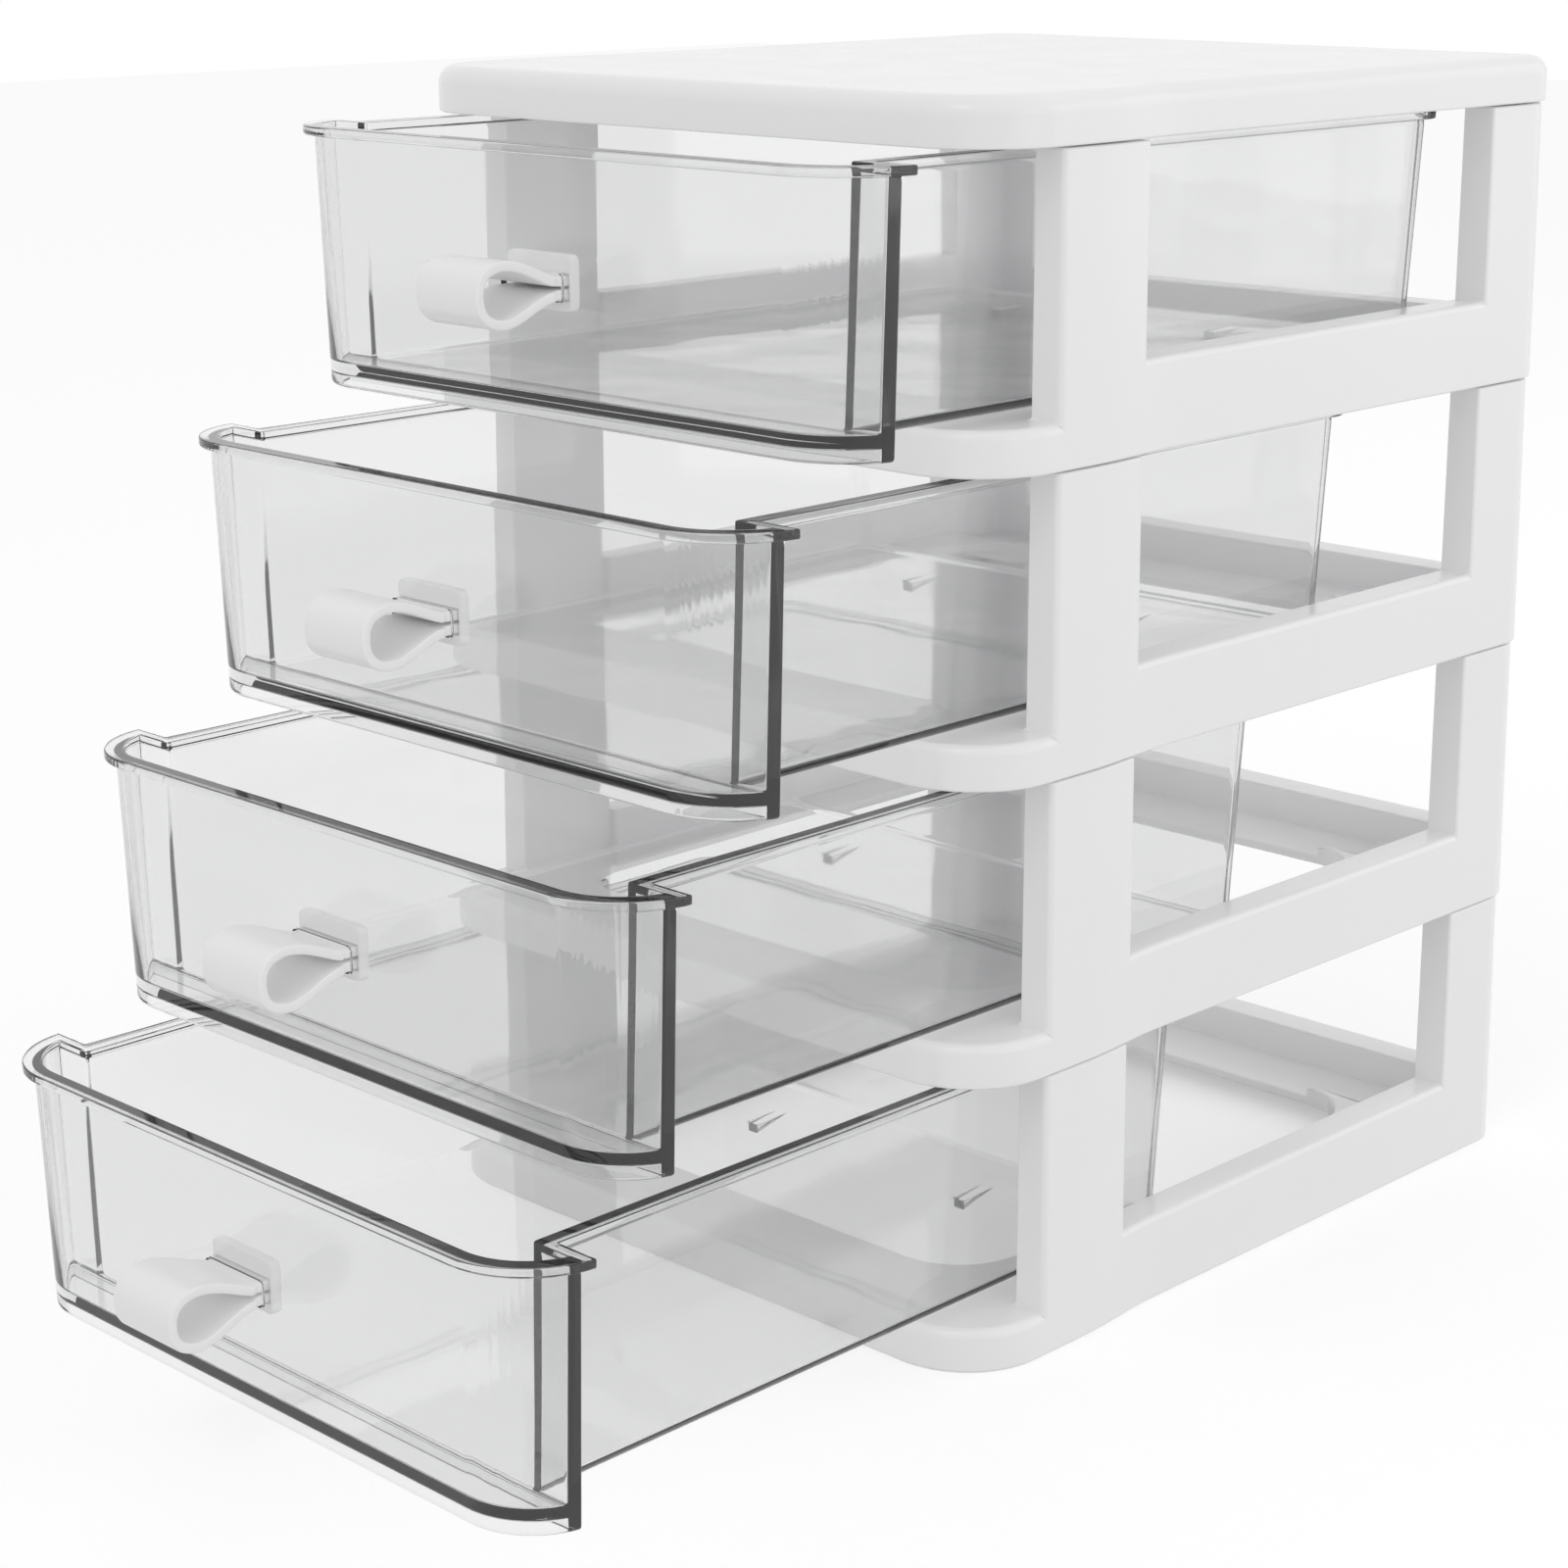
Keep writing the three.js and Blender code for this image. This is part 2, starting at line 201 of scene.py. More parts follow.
def cleanUp(piece):
    # Merges doubles, drops what belongs to no face and leaves triangles, which bevel cleanly
    pickPiece(piece)
    bpy.ops.object.mode_set(mode="EDIT")
    bpy.ops.mesh.select_mode(type="VERT")
    bpy.ops.mesh.select_all(action="SELECT")
    bpy.ops.mesh.remove_doubles(threshold=weld * mm)
    bpy.ops.mesh.dissolve_degenerate(threshold=weld * mm)
    bpy.ops.mesh.delete_loose(use_verts=True, use_edges=True, use_faces=False)
    bpy.ops.mesh.select_all(action="SELECT")
    bpy.ops.mesh.quads_convert_to_tris(ngon_method="BEAUTY")
    bpy.ops.mesh.select_all(action="DESELECT")
    bpy.ops.object.mode_set(mode="OBJECT")


def smooth(piece, angle=40):
    pickPiece(piece)
    bpy.ops.object.shade_smooth_by_angle(angle=math.radians(angle))
    bpy.ops.object.modifier_add(type="WEIGHTED_NORMAL")
    weighted = piece.modifiers[-1]
    weighted.keep_sharp = True
    bpy.ops.object.modifier_apply(modifier=weighted.name)


def finishEdges(piece, plain, steps, special=(), sharpAngle=38):
    # Rounds all sharp edges together: the plain ones by one radius, the special ones by their own
    widest = max([plain] + [radius for test, radius in special])
    pickEdges(piece, lambda a, b: True, sharpAngle)
    bpy.ops.transform.edge_bevelweight(value=plain / widest)
    for test, radius in special:
        pickEdges(piece, test, sharpAngle)
        bpy.ops.transform.edge_bevelweight(value=(radius - plain) / widest)
    bpy.ops.object.mode_set(mode="OBJECT")
    bpy.ops.object.modifier_add(type="BEVEL")
    bevel = piece.modifiers[-1]
    bevel.width = widest * mm
    bevel.segments = steps
    bevel.limit_method = "WEIGHT"
    bevel.use_clamp_overlap = False
    bevel.loop_slide = False
    bpy.ops.object.modifier_apply(modifier=bevel.name)
    smooth(piece)


def copyTo(source, name, y, z):
    # A copy with its own mesh, moved to a place given in metres
    pickPiece(source)
    bpy.ops.object.duplicate()
    copy = bpy.context.object
    copy.name = name
    copy.data.name = name
    copy.location = (0, y, z)
    applyPlace(copy)
    return copy


# Plan of the tiers and the cover, measured from the front lip.
# The sides stand a little wider in front and come in by a soft curve, from flareFrom to flareTo.
planSize = {
    "halfWidth": 65,
    "depth": 155.3,
    "flare": 1.3,
    "flareFrom": 27,
    "flareTo": 48,
    "frontRadius": 15,
    "rearRadius": 7.8,
    "frontSteps": 20,
    "rearSteps": 12,
    "flareSteps": 7,
}


def addPlan(name, bottom, top, inset=0):
    s = planSize
    half = s["halfWidth"] - inset
    piece = addBlock(name, (-half, half), (inset, s["depth"] - inset), (bottom, top))
    roundPosts(piece, s["frontRadius"] - inset, s["frontSteps"], True)
    roundPosts(piece, s["rearRadius"] - inset, s["rearSteps"], False)
    flareLength = s["flareTo"] - s["flareFrom"]
    stations = [
        s["flareFrom"] + flareLength * i / s["flareSteps"] for i in range(s["flareSteps"] + 1)
    ]
    for station in stations:
        pickPiece(piece)
        bpy.ops.object.mode_set(mode="EDIT")
        bpy.ops.mesh.select_all(action="SELECT")
        bpy.ops.mesh.bisect(plane_co=(0, station * mm, 0), plane_no=(0, 1, 0))
        bpy.ops.object.mode_set(mode="OBJECT")
    for i, station in enumerate(stations[:-1]):
        fade = (1 + math.cos(math.pi * i / s["flareSteps"])) / 2
        wider = (half + s["flare"] * fade) / half
        if i == 0:
            spread(piece, lambda p: p.y < station + tiny, (wider, 1, 1))
        else:
            spread(piece, lambda p: abs(p.y - station) < tiny, (wider, 1, 1))
    return piece


# One tier frame
tierSize = {
    "pitch": 48.6,
    "seam": 0.3,
    "lipHeight": 7.3,
    "lipRadius": 1.6,
    "bandHeight": 14.9,
    "bandInner": 58.4,
    "bandRadius": 1.1,
    "postRadius": 1.1,
    "innerRadius": 3,
    "innerSteps": 5,
    "postFront": 17.5,
    "postRear": 38.9,
    "postInner": 60,
    "postLean": 0.4,
    "rearPostFront": 134.3,
    "rearPostInner": 51,
    "rearBandInner": 148.3,
    "rearBandHeight": 11.5,
    "rearFloor": 5.2,
    "plate": 1.8,
    "skirt": 2.2,
    "holeHalf": 48,
    "holeFront": 18,
    "holeRear": 133,
    "holeRadius": 13,
    "holeSteps": 12,
    "tabHeight": 3,
    "tabThickness": 2.4,
    "tabGap": 0.3,
    "edge": 0.5,
    "edgeSteps": 4,
    "cutterOver": 5,
}


def modelTier(s):
    top = s["pitch"] - s["seam"]
    over = s["cutterOver"]
    above = (s["lipHeight"], top + over)
    wide = planSize["halfWidth"] + over
    deep = planSize["depth"] + over

    tier = addPlan("tierModel", 0, top)
    lean = 1 - s["postLean"] / planSize["halfWidth"]
    middle = (0, planSize["depth"] / 2, 0)
    spread(tier, lambda p: p.z > top - tiny, (lean, lean, 1), middle)

    # What is cut away: the open front, sides and back, the room inside and the hole in the floor
    front = addBlock("frontCut", (-wide, wide), (-over, s["postFront"]), above)
    sides = addBlock(
        "sideCut", (-wide, wide), (s["postRear"], s["rearPostFront"]),
        (s["bandHeight"], top + over),
    )
    rear = addBlock(
        "rearCut", (-s["rearPostInner"], s["rearPostInner"]), (s["rearPostFront"], deep),
        (s["rearBandHeight"], top + over),
    )
    well = addBlock(
        "wellCut", (-s["bandInner"], s["bandInner"]),
        (s["postFront"] - over, s["rearBandInner"]), above,
    )
    roundPosts(well, s["innerRadius"], s["innerSteps"], False)
    rearWell = addBlock(
        "rearWellCut", (-s["bandInner"], s["bandInner"]), (s["holeRear"], s["rearBandInner"]),
        (s["rearFloor"], s["lipHeight"] + over),
    )
    roundPosts(rearWell, s["innerRadius"], s["innerSteps"], False)
    between = addBlock(
        "betweenPostsCut", (-s["postInner"], s["postInner"]),
        (s["postFront"] - over, s["postRear"]), above,
    )
    hole = addBlock(
        "holeCut", (-s["holeHalf"], s["holeHalf"]), (s["holeFront"], s["holeRear"]),
        (-over, over * 3),
    )
    roundPosts(hole, s["holeRadius"], s["holeSteps"])
    lowUnder = addPlan("lowUnderCut", -over, s["rearFloor"] - s["plate"], s["skirt"])
    highUnder = addPlan("highUnderCut", -over, s["lipHeight"] - s["plate"], s["skirt"])
    rearKeep = addBlock(
        "rearKeep", (-wide, wide), (s["holeRear"] - s["plate"], deep), (-over * 2, over * 3),
    )
    cutAway(highUnder, rearKeep)
    cutAway(tier, front, sides, rear, well, rearWell, between, hole, lowUnder, highUnder)
    mergeFlats(tier)
    cleanUp(tier)

    # Tabs on the posts' tops, which the next tier sits over
    thick = s["tabThickness"]
    tabOuter = planSize["halfWidth"] - s["skirt"] - s["tabGap"]
    tabLevel = (top - s["tabHeight"], s["pitch"] + s["tabHeight"])
    frontTab = (s["postFront"] + thick, s["postRear"] - thick)
    rearTab = (s["rearPostFront"] + thick, s["rearBandInner"] - thick)
    for side in (-1, 1):
        across = sorted((side * tabOuter, side * (tabOuter - thick)))
        for along in (frontTab, rearTab):
            joinOn(tier, addBlock("tab", across, along, tabLevel))
    cleanUp(tier)

    # Edges with a rounding of their own: the lip's, the front posts' outer ones and the bands'
    outside = planSize["halfWidth"] - 1

    def lipEdge(a, b):
        onShelf = all(
            abs(p.z - s["lipHeight"]) < tiny and p.y < s["postFront"] + tiny for p in (a, b)
        )
        return onShelf and min(a.y, b.y) < s["postFront"] - tiny

    def postEdge(a, b):
        front = abs(a.y - s["postFront"]) < 1 and abs(b.y - s["postFront"]) < 1
        return front and abs(a.z - b.z) > over and max(abs(a.x), abs(b.x)) > outside

    def bandEdge(a, b):
        along = abs(a.z - s["bandHeight"]) < tiny and abs(b.z - s["bandHeight"]) < tiny
        return along and min(abs(a.x), abs(b.x)) > outside

    special = [
        (lipEdge, s["lipRadius"]), (postEdge, s["postRadius"]), (bandEdge, s["bandRadius"]),
    ]
    finishEdges(tier, s["edge"], s["edgeSteps"], special)
    return tier


tierModel = modelTier(tierSize)
print("tier modelled", len(tierModel.data.polygons))


# The flat cover
coverSize = {
    "height": 7.8,
    "radius": 3,
    "radiusSteps": 10,
    "wall": 2.2,
    "edge": 0.35,
    "edgeSteps": 3,
}


def modelCover(s):
    cover = addPlan("coverModel", 0, s["height"])
    roundLevel(cover, s["height"], s["radius"], s["radiusSteps"])
    cutAway(cover, addPlan("coverUnderCut", -s["height"], s["height"] - s["wall"], s["wall"]))
    cleanUp(cover)
    finishEdges(cover, s["edge"], s["edgeSteps"])
    return cover


coverModel = modelCover(coverSize)
print("cover modelled", len(coverModel.data.polygons))


# One clear drawer, measured from the step behind its wide front.
# The body runs between the posts, and the pocket is the wide part ahead of the step.
drawerSize = {
    "bodyHalf": 56.5,
    "bodyLength": 144.4,
    "bodyBottom": 7.6,
    "bodyRearRadius": 4,
    "bodyBottomRadius": 2.6,
    "bodyDraft": 1.5,
    "pocketHalf": 64.5,
    "pocketDepth": 11.2,
    "pocketBottom": 5.4,
    "pocketRadius": 13.5,
    "pocketBottomRadius": 0.7,
    "pocketDraft": 1,
    "pocketSteps": 18,
    "rearSteps": 9,
    "bottomSteps": 6,
    "top": 48,
    "wall": 1.8,
    "sideWall": 1.2,
    "floorRadius": 0.45,
    "floorSteps": 5,
    "stepRadius": 0.6,
    "stepSteps": 4,
    "rimThickness": 1.5,
    "rimReach": 1.8,
    "rimBack": 1.1,
    "rimFrontSteps": 20,
    "rimRearSteps": 10,
    "nubSpacing": 50.4,
    "nubWidth": 2.4,
    "nubLength": 8.4,
    "nubFront": 122.8,
    "nubDrop": 1.9,
    "slotHalf": 6.9,
    "slotRise": 2.1,
    "slotRadius": 0.7,
    "slotSteps": 4,
    "edge": 0.28,
    "edgeSteps": 3,
    "cutterOver": 6,
    "cutterReach": 90,
}


def addTray(name, half, length, level, radii, draft):
    # Block with rounded upright corners at one end, walls leaning out upwards, rounded underneath.
    # The end without rounded corners is hidden in its neighbour and stands still.
    front, rear = length
    bottom, top = level
    frontRadius, rearRadius, bottomRadius = radii
    tray = addBlock(name, (-half, half), length, level)
    if frontRadius:
        roundPosts(tray, frontRadius, drawerSize["pocketSteps"], True)
    if rearRadius:
        roundPosts(tray, rearRadius, drawerSize["rearSteps"], False)
    span = rear - front
    hidden = rear if frontRadius else front
    factors = ((half - draft) / half, (span - draft) / span, 1)
    spread(tray, lambda p: p.z < bottom + tiny, factors, (0, hidden, bottom))
    roundLevel(tray, bottom, bottomRadius, drawerSize["bottomSteps"])
    return tray


def modelDrawer(s, pull):
    over, far = s["cutterOver"], s["cutterReach"]
    wall, thin = s["wall"], s["sideWall"]
    bodyHalf, pocketHalf, pocketFront = s["bodyHalf"], s["pocketHalf"], -s["pocketDepth"]
    pocketEnd = 2 * s["pocketRadius"]
    upper = s["top"] + over

    # The outside: body and pocket, each with its rim
    drawer = addTray(
        "drawerModel", bodyHalf, (-over, s["bodyLength"]), (s["bodyBottom"], s["top"]),
        (0, s["bodyRearRadius"], s["bodyBottomRadius"]), s["bodyDraft"],
    )
    pocket = addTray(
        "pocketOuter", pocketHalf, (pocketFront, pocketEnd), (s["pocketBottom"], s["top"]),
        (s["pocketRadius"], 0, s["pocketBottomRadius"]), s["pocketDraft"],
    )
    cutAway(pocket, addBlock("pocketBack", (-far, far), (0, far), (-over, upper)))
    joinOn(drawer, pocket)
    reach = s["rimReach"]
    rimLevel = (s["top"] - s["rimThickness"], s["top"])
    bodyRim = addBlock(
        "bodyRim", (-bodyHalf - reach, bodyHalf + reach), (-over, s["bodyLength"] + reach),
        rimLevel,
    )
    roundPosts(bodyRim, s["bodyRearRadius"] + reach, s["rimRearSteps"], False)
    pocketRim = addBlock(
        "pocketRim", (-pocketHalf - reach, pocketHalf + reach), (pocketFront - reach, pocketEnd),
        rimLevel,
    )
    roundPosts(pocketRim, s["pocketRadius"] + reach, s["rimFrontSteps"], True)
    cutAway(pocketRim, addBlock("pocketRimBack", (-far, far), (s["rimBack"], far), (-over, upper)))
    joinOn(drawer, bodyRim, pocketRim)

    # The hollow: body and pocket share one floor, and their walls turn the step in a soft curve
    floor = s["bodyBottom"] + wall
    hollow = addBlock(
        "drawerHollow", (thin - bodyHalf, bodyHalf - thin), (-over, s["bodyLength"] - thin),
        (floor, upper),
    )
    roundPosts(hollow, s["bodyRearRadius"] - thin, s["rearSteps"], False)
    pocketHollow = addBlock(
        "pocketHollow", (thin - pocketHalf, pocketHalf - thin), (thin + pocketFront, pocketEnd),
        (floor, upper),
    )
    roundPosts(pocketHollow, s["pocketRadius"] - thin, s["pocketSteps"], True)
    cutAway(
        pocketHollow,
        addBlock("pocketHollowBack", (-far, far), (-thin, far), (-over, upper + over)),
    )
    joinOn(hollow, pocketHollow)
    mergeFlats(hollow)

    def stepCorner(a, b):
        atCorner = abs(abs(a.x) - bodyHalf + thin) < tiny and abs(a.y + thin) < tiny
        return atCorner and abs(a.z - b.z) > over

    roundEdges(hollow, stepCorner, s["stepRadius"], s["stepSteps"])
    lean = 1 - s["bodyDraft"] / pocketHalf
    back = 1 - s["bodyDraft"] / s["bodyLength"]
    front = 1 - s["pocketDraft"] / (s["pocketDepth"] - 2 * thin)
    foot = (0, -thin, floor)
    spread(hollow, lambda p: p.z < floor + tiny and p.y > tiny - thin, (lean, back, 1), foot)
    spread(hollow, lambda p: p.z < floor + tiny and p.y < tiny - thin, (lean, front, 1), foot)
    roundLevel(hollow, floor, s["floorRadius"], s["floorSteps"])

    # Under the pocket's floor its walls reach down as a low skirt
    skirtHalf = pocketHalf - s["pocketDraft"] - thin
    skirtFront = thin + s["pocketDraft"] - s["pocketDepth"]
    under = addBlock(
        "underPocket", (-skirtHalf, skirtHalf), (skirtFront, pocketEnd), (-over, s["bodyBottom"]),
    )
    roundPosts(under, s["pocketRadius"] - thin, s["pocketSteps"], True)
    cutAway(under, addBlock("underPocketBack", (-far, far), (-thin, far), (-over * 2, upper)))

    # The slot for the pull's ends
    slot = addBlock(
        "pullSlot", (pull["at"] - s["slotHalf"], pull["at"] + s["slotHalf"]),
        (pocketFront - over, -over),
        (pull["height"] - s["slotRise"], pull["height"] + s["slotRise"]),
    )
    roundEdges(slot, lambda a, b: abs(a.y - b.y) > over, s["slotRadius"], s["slotSteps"])
    cutAway(drawer, hollow, under, slot)

    # Two small wedges under the floor, which stop the drawer at the front of the tier's floor
    nubEnd = s["nubFront"] + s["nubLength"]
    for side in (-1, 1):
        x = side * s["nubSpacing"] / 2
        nub = addBlock(
            "nub", (x - s["nubWidth"] / 2, x + s["nubWidth"] / 2), (s["nubFront"], nubEnd),
            (s["bodyBottom"] - s["nubDrop"], s["bodyBottom"] + wall / 2),
        )
        pickPoints(nub, lambda p: p.y > nubEnd - tiny and p.z < s["bodyBottom"])
        bpy.ops.transform.translate(value=(0, 0, s["nubDrop"] * mm))
        bpy.ops.object.mode_set(mode="OBJECT")
        joinOn(drawer, nub)
    cleanUp(drawer)
    finishEdges(drawer, s["edge"], s["edgeSteps"])
    return drawer


# The pull: a strip folded into a teardrop, its two ends pushed through the drawer's front.
# The route gives the strip's outer side, as shares of the length (outwards) and of half the bulb.
pullSize = {
    "at": -3.5,
    "height": 26.4,
    "width": 14.4,
    "neckWidth": 13.2,
    "neckLength": 0.6,
    "face": -10.54,
    "gap": 0.3,
    "length": 17,
    "bulb": 10.2,
    "wall": 1.6,
    "inward": -1,
    "tongueEnd": 7.8,
    "roundSteps": 3,
    "edge": 0.35,
    "edgeSteps": 3,
    "edgeAngle": 50,
    "route": [
        (0.0, 0.35), (0.1, 0.42), (0.24, 0.63), (0.42, 0.88), (0.6, 1.03), (0.76, 1.01),
        (0.9, 0.82), (0.98, 0.46), (1.0, 0.05), (0.985, -0.36), (0.93, -0.74), (0.8, -0.99),
        (0.66, -1.06), (0.52, -0.98), (0.38, -0.78), (0.25, -0.56), (0.12, -0.4), (0.0, -0.35),
    ],
}


def modelPull(s):
    base = s["face"] - s["gap"]
    places = [(base + s["tongueEnd"], s["route"][0][1])]
    places += [(base - out * s["length"], rise) for out, rise in s["route"]]
    places += [(base + s["tongueEnd"], s["route"][-1][1])]
    places = [(y, s["height"] + rise * s["bulb"] / 2) for y, rise in places]

    (y0, z0), (y1, z1) = places[:2]
    clearSelection()
    middle = (s["at"] * mm, (y0 + y1) / 2 * mm, z0 * mm)
    bpy.ops.mesh.primitive_plane_add(size=1, location=middle)
    strip = bpy.context.object
    strip.name = "pullModel"
    strip.scale = (s["width"] * mm, abs(y1 - y0) * mm, 1)
    applyPlace(strip)
    pickEdges(strip, lambda a, b: max(a.y, b.y) < y1 + tiny)
    for before, after in zip(places[1:], places[2:]):
        step = (0, (after[0] - before[0]) * mm, (after[1] - before[1]) * mm)
        bpy.ops.mesh.extrude_region_move(TRANSFORM_OT_translate={"value": step})
    bpy.ops.object.mode_set(mode="OBJECT")
    pickPiece(strip)
    bpy.ops.object.modifier_add(type="SUBSURF")
    rounding = strip.modifiers[-1]
    rounding.levels = s["roundSteps"]
    rounding.render_levels = s["roundSteps"]
    bpy.ops.object.modifier_apply(modifier=rounding.name)

    # Narrower at the neck, then given its thickness inwards and soft edges
    neck = s["neckWidth"] / s["width"]
    spread(strip, lambda p: p.y > base - s["neckLength"], (neck, 1, 1), (s["at"], 0, 0))
    pickPiece(strip)
    bpy.ops.object.modifier_add(type="SOLIDIFY")
    solidify = strip.modifiers[-1]
    solidify.thickness = s["wall"] * mm
    solidify.offset = s["inward"]
    solidify.use_even_offset = True
    bpy.ops.object.modifier_apply(modifier=solidify.name)
    finishEdges(strip, s["edge"], s["edgeSteps"], (), s["edgeAngle"])
    return strip


# The clip: a small plate behind the drawer's front with a slot that snaps onto the pull's ends
clipSize = {
    "gap": 1,
    "rise": 0.6,
    "width": 15,
    "height": 8.8,
    "thickness": 1.8,
    "corner": 1.2,
    "cornerSteps": 3,
    "slotHalf": 6.8,
    "slotRise": 2.1,
    "edge": 0.25,
    "edgeSteps": 3,
}


def modelClip(s, drawer, pull):
    front = pull["face"] + drawer["sideWall"] + s["gap"]
    rear = front + s["thickness"]
    at, height = pull["at"], pull["height"]
    clip = addBlock(
        "clipModel", (at - s["width"] / 2, at + s["width"] / 2), (front, rear),
        (height + s["rise"] - s["height"] / 2, height + s["rise"] + s["height"] / 2),
    )
    roundEdges(clip, lambda a, b: abs(a.y - b.y) > tiny, s["corner"], s["cornerSteps"])
    cutAway(clip, addBlock(
        "clipSlot", (at - s["slotHalf"], at + s["slotHalf"]),
        (front - s["thickness"], rear + s["thickness"]),
        (height - s["slotRise"], height + s["slotRise"]),
    ))
    cleanUp(clip)
    finishEdges(clip, s["edge"], s["edgeSteps"])
    return clip


drawerModel = modelDrawer(drawerSize, pullSize)
print("drawer modelled", len(drawerModel.data.polygons))
pullModel = modelPull(pullSize)
clipModel = modelClip(clipSize, drawerSize, pullSize)
print("pull and clip modelled", len(pullModel.data.polygons), len(clipModel.data.polygons))


# Finishes: colours, then how the roughness and the fine relief vary over the surface
whiteFinish = {
    "bright": (0.925, 0.925, 0.93, 1),
    "shade": (0.915, 0.915, 0.921, 1),
    "cloudScale": 28,
    "roughLow": 0.2,
    "roughHigh": 0.27,
    "roughScale": 90,
    "grain": 0.04,
    "grainDepth": 0.00006,
    "grainScale": 1500,
    "bending": 1.49,
}
pullFinish = dict(
    whiteFinish, bright=(0.94, 0.94, 0.94, 1), shade=(0.94, 0.94, 0.94, 1),
    roughLow=0.3, roughHigh=0.38,
)
clearFinish = {
    "tint": (0.925, 0.926, 0.928, 1),
    "transmission": 0.975,
    "roughLow": 0.01,
    "roughHigh": 0.045,
    "roughScale": 60,
    "ripple": 0.2,
    "rippleDepth": 0.0006,
    "rippleScale": 42,
    "bending": 1.5,
    "absorb": (0.7, 0.705, 0.71, 1),
    "absorbDensity": 50,
}


def startMaterial(name):
    material = bpy.data.materials.new(name)
    material.use_nodes = True
    nodes = material.node_tree.nodes
    return material, nodes, material.node_tree.links, nodes["Principled BSDF"]


def addNoise(nodes, links, scale, detail):
    place = nodes.new("ShaderNodeTexCoord")
    noise = nodes.new("ShaderNodeTexNoise")
    noise.inputs["Scale"].default_value = scale
    noise.inputs["Detail"].default_value = detail
    links.new(place.outputs["Object"], noise.inputs["Vector"])
    return noise.outputs["Fac"]


def addRange(nodes, links, value, low, high, fromLow=0.3, fromHigh=0.7):
    ranged = nodes.new("ShaderNodeMapRange")
    ranged.inputs["From Min"].default_value = fromLow
    ranged.inputs["From Max"].default_value = fromHigh
    ranged.inputs["To Min"].default_value = low
    ranged.inputs["To Max"].default_value = high
    links.new(value, ranged.inputs["Value"])
    return ranged.outputs["Result"]


def addBump(nodes, links, height, strength, distance):
    bump = nodes.new("ShaderNodeBump")
    bump.inputs["Strength"].default_value = strength
    bump.inputs["Distance"].default_value = distance
    links.new(height, bump.inputs["Height"])
    return bump.outputs["Normal"]


def makeWhitePlastic(name, s):
    material, nodes, links, shader = startMaterial(name)
    mix = nodes.new("ShaderNodeMix")
    mix.data_type = "RGBA"
    mix.inputs["A"].default_value = s["shade"]
    mix.inputs["B"].default_value = s["bright"]
    cloud = addRange(nodes, links, addNoise(nodes, links, s["cloudScale"], 3), 0, 1)
    links.new(cloud, mix.inputs["Factor"])
    links.new(mix.outputs["Result"], shader.inputs["Base Color"])
    patches = addNoise(nodes, links, s["roughScale"], 4)
    rough = addRange(nodes, links, patches, s["roughLow"], s["roughHigh"])
    links.new(rough, shader.inputs["Roughness"])
    grain = addNoise(nodes, links, s["grainScale"], 2)
    links.new(addBump(nodes, links, grain, s["grain"], s["grainDepth"]), shader.inputs["Normal"])
    shader.inputs["IOR"].default_value = s["bending"]
    return material


def makeClearPlastic(name, s):
    material, nodes, links, shader = startMaterial(name)
    shader.inputs["Base Color"].default_value = s["tint"]
    shader.inputs["Transmission Weight"].default_value = s["transmission"]
    shader.inputs["IOR"].default_value = s["bending"]
    patches = addNoise(nodes, links, s["roughScale"], 3)
    rough = addRange(nodes, links, patches, s["roughLow"], s["roughHigh"])
    links.new(rough, shader.inputs["Roughness"])
    waves = addNoise(nodes, links, s["rippleScale"], 1)
    links.new(addBump(nodes, links, waves, s["ripple"], s["rippleDepth"]), shader.inputs["Normal"])
    volume = nodes.new("ShaderNodeVolumeAbsorption")
    volume.inputs["Color"].default_value = s["absorb"]
    volume.inputs["Density"].default_value = s["absorbDensity"]
    links.new(volume.outputs["Volume"], nodes["Material Output"].inputs["Volume"])
    return material


whitePlastic = makeWhitePlastic("satinWhitePlastic", whiteFinish)
pullPlastic = makeWhitePlastic("smoothPullPlastic", pullFinish)
clearPlastic = makeClearPlastic("clearDrawerPlastic", clearFinish)
print("finishes made")


# Copies of the models, each at its own CAD node's place and riding on that node's body
def place(model, name, node, body, slot, finish, y, z):
    piece = copyTo(model, name, y, z)
    piece.data.materials.clear()
    piece.data.materials.append(finish)
    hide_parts(node)
    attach(piece, body)
    return piece


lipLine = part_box("tier_4")[0].y
stepBack = (drawerSize["pocketDepth"] + drawerSize["rimReach"]) * mm
for n in (1, 2, 3, 4):
    tier, drawer, pullout = f"tier_{n}", f"drawer_{n}", f"pullout_{n}"
    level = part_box(tier)[0].z
    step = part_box(drawer)[0].y + stepBack
    place(
        tierModel, f"tierShell_{n}", tier, "stack", "white_frame", whitePlastic, lipLine, level,
    )
    shell = place(
        drawerModel, f"drawerShell_{n}", drawer, pullout, "clear_drawer", clearPlastic,
        step, level,
    )
    shell.visible_shadow = False  # soft studio light passes the clear drawers
    shell.visible_diffuse = False
    for model, kind in ((pullModel, "pull"), (clipModel, "clip")):
        place(
            model, f"{kind}Shell_{n}", f"{kind}_{n}", pullout, "white_pull", pullPlastic,
            step, level,
        )
place(
    coverModel, "coverShell", "cover", "stack", "white_frame", whitePlastic, lipLine,
    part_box("cover")[0].z,
)
for model in (tierModel, coverModel, drawerModel, pullModel, clipModel):
    bpy.data.objects.remove(model)
print("pieces placed")


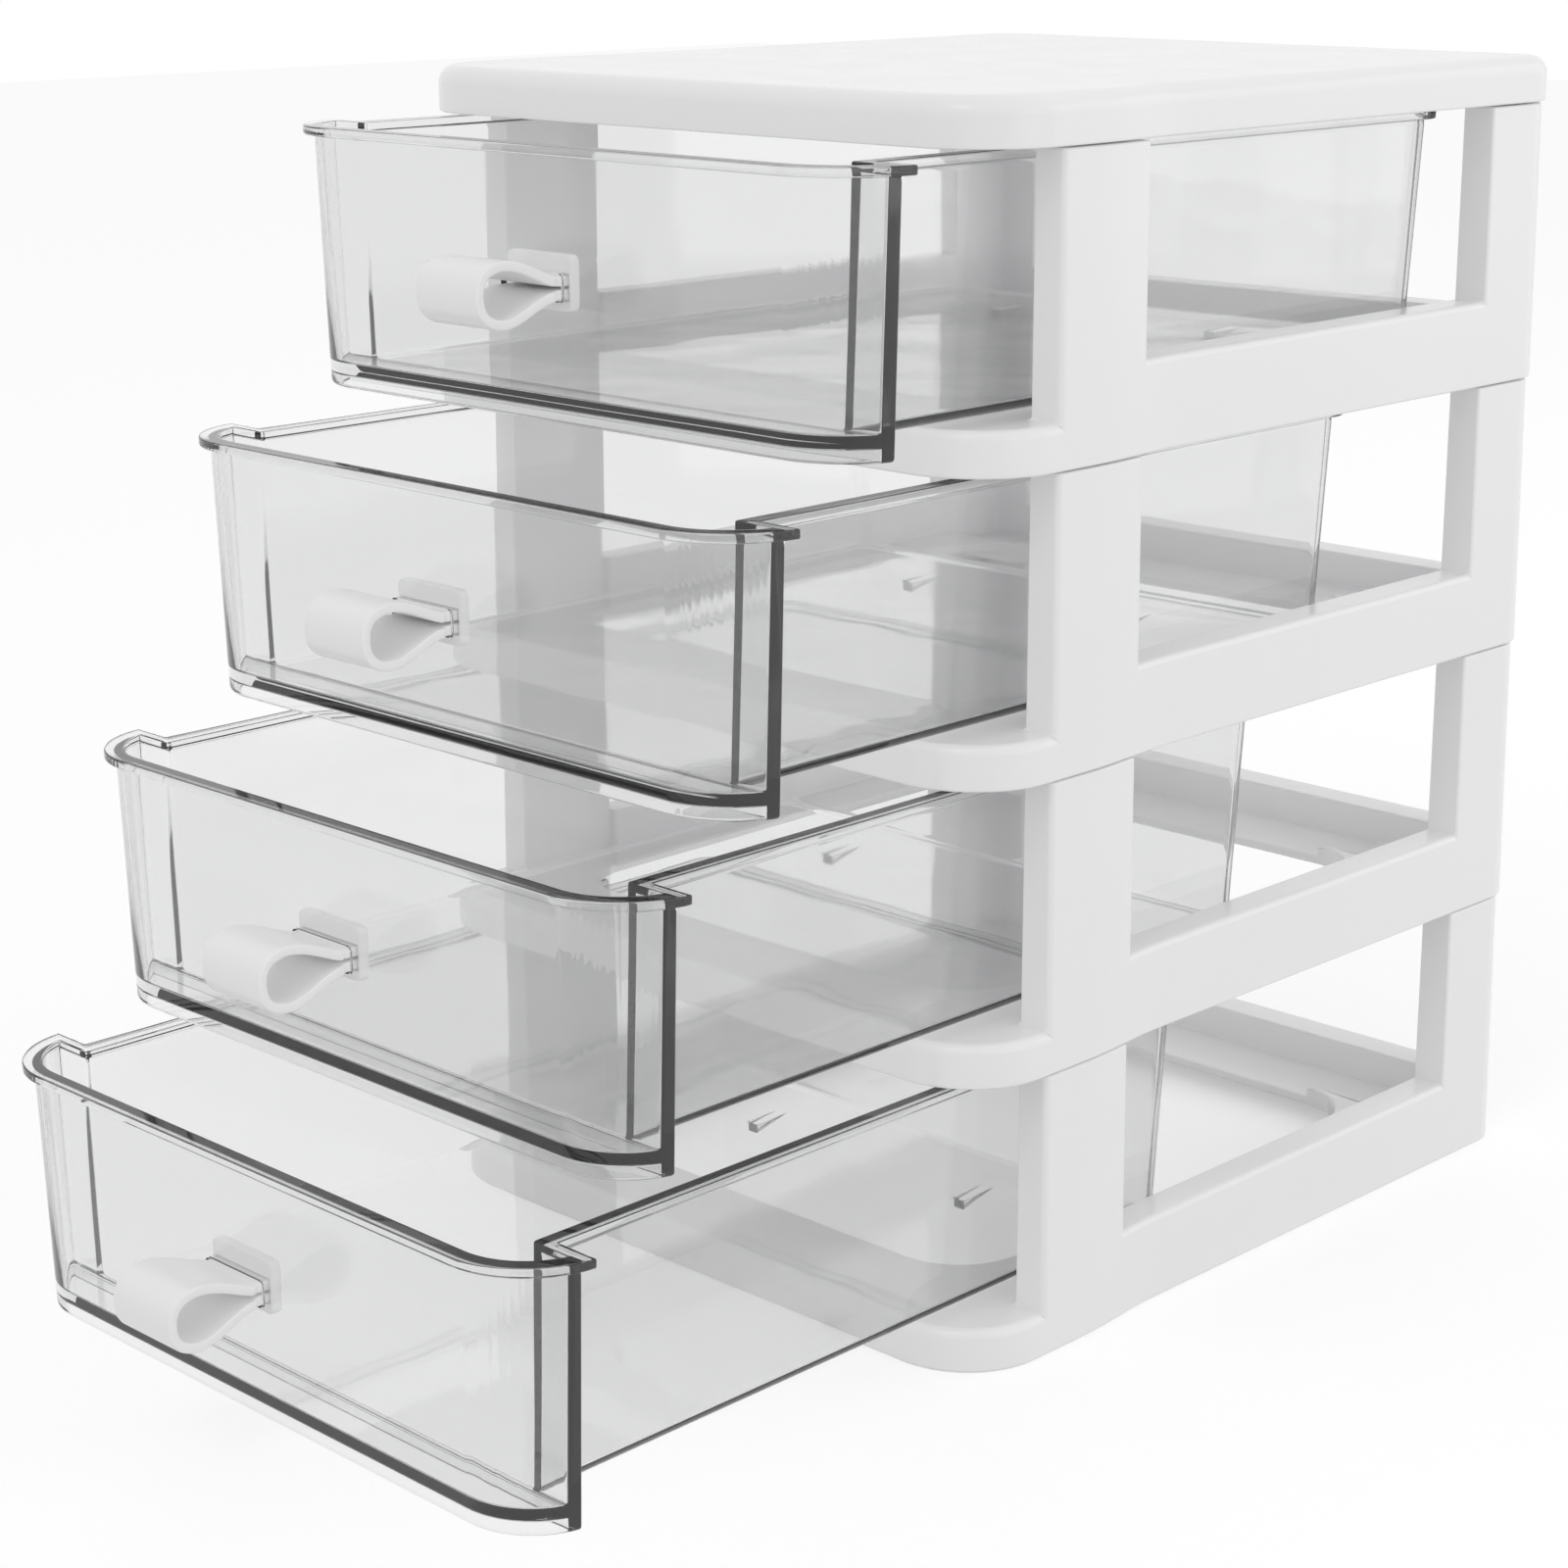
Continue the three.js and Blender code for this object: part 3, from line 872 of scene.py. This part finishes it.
# Light, background and floor. A lamp has its name, place, aim, side length and power.
stageSize = {
    "worldLight": 0.76,
    "background": 1,
    "turnedBack": 0.02,
    "turnsFrom": 1,
    "turnsTo": 2.5,
    "floorGlow": 0.36,
    "floorWhite": 0.78,
    "floorSide": 6,
    "lamps": [
        ("frontSoftbox", (0.25, -0.75, 1.05), (0, 0, 0.15), 0.35, 0.75),
        ("sideSoftbox", (1.3, 0.2, 0.24), (0, 0.05, 0.1), 0.9, 1.7),
        ("rearSoftbox", (0.6, 1.1, 0.4), (0, 0.05, 0.1), 0.8, 1.3),
    ],
    "clearBounces": 28,
    "glossyBounces": 6,
    "diffuseBounces": 8,
}


def addSeen(nodes, links):
    # One where the camera, a reflection or a view through clear plastic looks, nought elsewhere
    path = nodes.new("ShaderNodeLightPath")
    value = path.outputs["Is Camera Ray"]
    for output in ("Is Glossy Ray", "Is Transmission Ray"):
        most = nodes.new("ShaderNodeMath")
        most.operation = "MAXIMUM"
        links.new(value, most.inputs[0])
        links.new(path.outputs[output], most.inputs[1])
        value = most.outputs["Value"]
    return value


def addTimes(nodes, links, first, second):
    times = nodes.new("ShaderNodeMath")
    times.operation = "MULTIPLY"
    links.new(first, times.inputs[0])
    links.new(second, times.inputs[1])
    return times.outputs["Value"]


def addDimming(nodes, links, s):
    # One but for light turned back over and over inside the clear plastic, which sees the dark
    # room round the set
    path = nodes.new("ShaderNodeLightPath")
    turns = path.outputs["Glossy Depth"]
    again = addRange(nodes, links, turns, 0, 1, s["turnsFrom"], s["turnsTo"])
    turned = addTimes(nodes, links, again, path.outputs["Transmission Depth"])
    return addRange(nodes, links, turned, 1, s["turnedBack"], 0, 1)


def setWorld(s):
    world = bpy.data.worlds.new("studioWorld")
    bpy.context.scene.world = world
    world.use_nodes = True
    nodes, links = world.node_tree.nodes, world.node_tree.links
    seen = addSeen(nodes, links)
    light = addRange(nodes, links, seen, s["worldLight"], s["background"], 0, 1)
    strength = addTimes(nodes, links, light, addDimming(nodes, links, s))
    links.new(strength, nodes["Background"].inputs["Strength"])
    nodes["Background"].inputs["Color"].default_value = (1, 1, 1, 1)


def addFloor(s):
    clearSelection()
    bpy.ops.mesh.primitive_plane_add(size=s["floorSide"])
    floor = bpy.context.object
    floor.name = "studioFloor"
    material, nodes, links, shader = startMaterial("studioFloorWhite")
    nodes.remove(shader)
    dimming = addDimming(nodes, links, s)
    diffuse = nodes.new("ShaderNodeBsdfDiffuse")
    white = addRange(nodes, links, dimming, 0, s["floorWhite"], 0, 1)
    links.new(white, diffuse.inputs["Color"])
    glow = nodes.new("ShaderNodeEmission")
    seen = addRange(nodes, links, addSeen(nodes, links), 0, s["floorGlow"], 0, 1)
    links.new(addTimes(nodes, links, seen, dimming), glow.inputs["Strength"])
    both = nodes.new("ShaderNodeAddShader")
    links.new(diffuse.outputs["BSDF"], both.inputs[0])
    links.new(glow.outputs["Emission"], both.inputs[1])
    links.new(both.outputs["Shader"], nodes["Material Output"].inputs["Surface"])
    floor.data.materials.append(material)


def addLamps(s):
    for name, spot, aim, side, power in s["lamps"]:
        clearSelection()
        bpy.ops.object.light_add(type="AREA", location=spot)
        lamp = bpy.context.object
        lamp.name = name
        lamp.data.size = side
        lamp.data.energy = power
        towards = Vector(aim) - Vector(spot)
        lamp.rotation_euler = towards.to_track_quat("-Z", "Y").to_euler()


setWorld(stageSize)
addFloor(stageSize)
addLamps(stageSize)
scene = bpy.context.scene
scene.view_settings.view_transform = "Standard"
scene.cycles.max_bounces = stageSize["clearBounces"]
scene.cycles.transmission_bounces = stageSize["clearBounces"]
scene.cycles.glossy_bounces = stageSize["glossyBounces"]
scene.cycles.diffuse_bounces = stageSize["diffuseBounces"]
print("stage lit")
